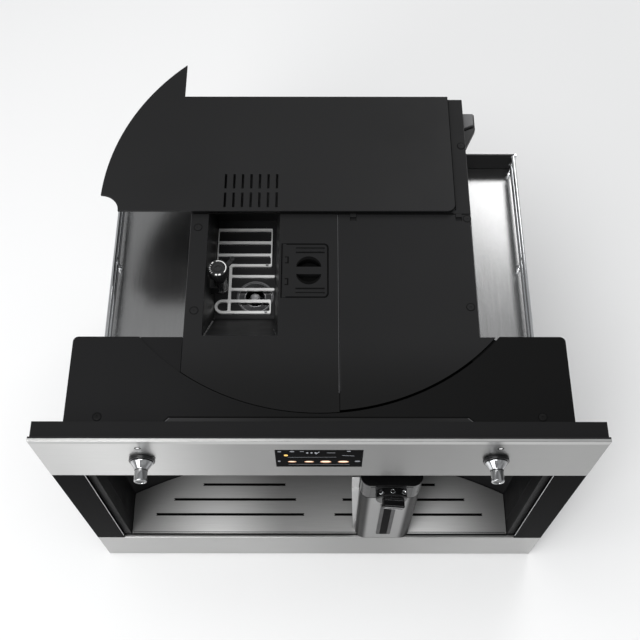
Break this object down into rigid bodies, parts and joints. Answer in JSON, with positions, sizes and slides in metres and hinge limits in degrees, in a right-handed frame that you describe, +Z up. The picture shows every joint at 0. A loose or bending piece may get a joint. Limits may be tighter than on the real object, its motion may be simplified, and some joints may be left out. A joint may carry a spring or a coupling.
{
  "type": "built_in_coffee_machine",
  "caption": "Built in bean to cup coffee machine on telescopic runners, with steel fascia, milk jug, drip tray drawer, bean hopper and water tank under hinged lids",
  "frame": {"origin": "centre of the bounding box on the floor of the niche", "axes": "+X right, +Y to the back of the niche, +Z up"},
  "size_m": [0.595, 0.5344, 0.4565],
  "materials": {
    "zinc_steel": "satin",
    "black_paint": "matte",
    "black_plastic": "satin",
    "brushed_steel": "brushed",
    "black_glass": "gloss",
    "chrome": "polished",
    "burr_steel": "satin",
    "motor_grey": "satin",
    "board_green": "satin",
    "clear_plastic": "gloss",
    "tube_white": "satin"
  },
  "bodies": {
    "cabinet": {"cabinet_base": "zinc_steel", "runner_outer_left": "zinc_steel", "runner_outer_right": "zinc_steel"},
    "slide_left": {"runner_mid_left": "zinc_steel"},
    "slide_right": {"runner_mid_right": "zinc_steel"},
    "machine": {"runner_inner_left": "zinc_steel", "runner_inner_right": "zinc_steel", "base_pan": "zinc_steel", "side_panel_left": "black_paint", "side_panel_right": "black_paint", "rear_panel": "black_paint", "power_inlet": "black_plastic", "front_frame": "black_paint", "fascia_band": "brushed_steel", "fascia_stiles": "black_glass", "display_glass": "black_glass", "control_board": "board_green", "knob_bezels": "black_plastic", "knob_encoders": "black_plastic", "front_housing": "black_paint", "housing_top": "black_paint", "bay_liner": "black_plastic", "core_casing": "black_paint", "core_deck": "black_paint", "rear_cover": "black_paint", "hopper_bin": "black_plastic", "bean_guard": "brushed_steel", "grinder_housing": "black_plastic", "upper_burr": "burr_steel", "grinder_motor": "motor_grey", "ground_chute": "black_plastic", "brew_frame": "motor_grey", "tank_cradle": "black_plastic", "boiler": "burr_steel", "pump": "motor_grey", "water_pipes": "tube_white", "shelf_left": "brushed_steel", "shelf_right": "brushed_steel", "rail_left": "chrome", "rail_right": "chrome"},
    "switch": {"power_switch": "black_plastic"},
    "knob_left": {"knob_left": "chrome"},
    "knob_right": {"knob_right": "chrome"},
    "spout": {"spout_head": "black_plastic"},
    "lower_burr": {"lower_burr": "burr_steel"},
    "dial": {"grind_dial": "black_plastic"},
    "ground_lid": {"ground_lid": "black_paint"},
    "piston": {"brew_piston": "motor_grey"},
    "tank": {"water_tank": "clear_plastic"},
    "tank_lid": {"tank_lid": "black_paint"},
    "drawer": {"tray_front": "brushed_steel", "tray_basin": "black_plastic", "tray_grille": "brushed_steel", "grounds_bin": "black_plastic"},
    "jug": {"jug_body": "brushed_steel"},
    "jug_lid": {"jug_lid": "black_plastic"},
    "froth_dial": {"froth_dial": "black_plastic"}
  },
  "joints": [
    {"name": "pull_out", "type": "slide", "parent": "cabinet", "child": "machine", "axis": [0, -1, 0], "range_m": [0, 0.4]},
    {"name": "slide_left", "type": "slide", "parent": "cabinet", "child": "slide_left", "axis": [0, -1, 0], "range_m": [0, 0.2]},
    {"name": "slide_right", "type": "slide", "parent": "cabinet", "child": "slide_right", "axis": [0, -1, 0], "range_m": [0, 0.2]},
    {"name": "switch_rock", "type": "hinge", "parent": "machine", "child": "switch", "pos_m": [-0.163, 0.2101, 0.0665], "axis": [1, 0, 0], "range_deg": [-6, 6]},
    {"name": "knob_left_turn", "type": "hinge", "parent": "machine", "child": "knob_left", "pos_m": [-0.188, -0.24115, 0.4035], "axis": [0, 1, 0], "range_deg": [-150, 150]},
    {"name": "knob_right_turn", "type": "hinge", "parent": "machine", "child": "knob_right", "pos_m": [0.188, -0.24115, 0.4035], "axis": [0, 1, 0], "range_deg": [-150, 150]},
    {"name": "spout_height", "type": "slide", "parent": "machine", "child": "spout", "axis": [0, 0, -1], "range_m": [0, 0.06]},
    {"name": "burr_spin", "type": "hinge", "parent": "machine", "child": "lower_burr", "pos_m": [-0.078, -0.01515, 0.3015], "axis": [0, 0, 1], "continuous": true},
    {"name": "grind_setting", "type": "hinge", "parent": "machine", "child": "dial", "pos_m": [-0.1152, -0.02415, 0.4265], "axis": [0, 0, 1], "range_deg": [-120, 120]},
    {"name": "ground_lid_open", "type": "hinge", "parent": "machine", "child": "ground_lid", "pos_m": [-0.0406, -0.03195, 0.4395], "axis": [0, -1, 0], "range_deg": [0, 95]},
    {"name": "brew_press", "type": "slide", "parent": "machine", "child": "piston", "axis": [0, 0, 1], "range_m": [0, 0.04]},
    {"name": "tank_lift", "type": "slide", "parent": "machine", "child": "tank", "axis": [0, 0, 1], "range_m": [0, 0.25]},
    {"name": "tank_lid_open", "type": "hinge", "parent": "tank", "child": "tank_lid", "pos_m": [0.1, 0.04065, 0.4395], "axis": [-1, 0, 0], "range_deg": [0, 85]},
    {"name": "drawer_out", "type": "slide", "parent": "machine", "child": "drawer", "axis": [0, -1, 0], "range_m": [0, 0.26]},
    {"name": "jug_out", "type": "slide", "parent": "machine", "child": "jug", "axis": [0, -1, 0], "range_m": [0, 0.12]},
    {"name": "jug_lid_lift", "type": "slide", "parent": "jug", "child": "jug_lid", "axis": [0, 0, 1], "range_m": [0, 0.03]},
    {"name": "froth_turn", "type": "hinge", "parent": "jug_lid", "child": "froth_dial", "pos_m": [0.084, -0.24115, 0.2873], "axis": [0, 1, 0], "range_deg": [0, 90]}
  ],
  "couplings": [
    {"joint": "slide_left", "follows": "pull_out", "ratio": 0.5},
    {"joint": "slide_right", "follows": "pull_out", "ratio": 0.5}
  ]
}
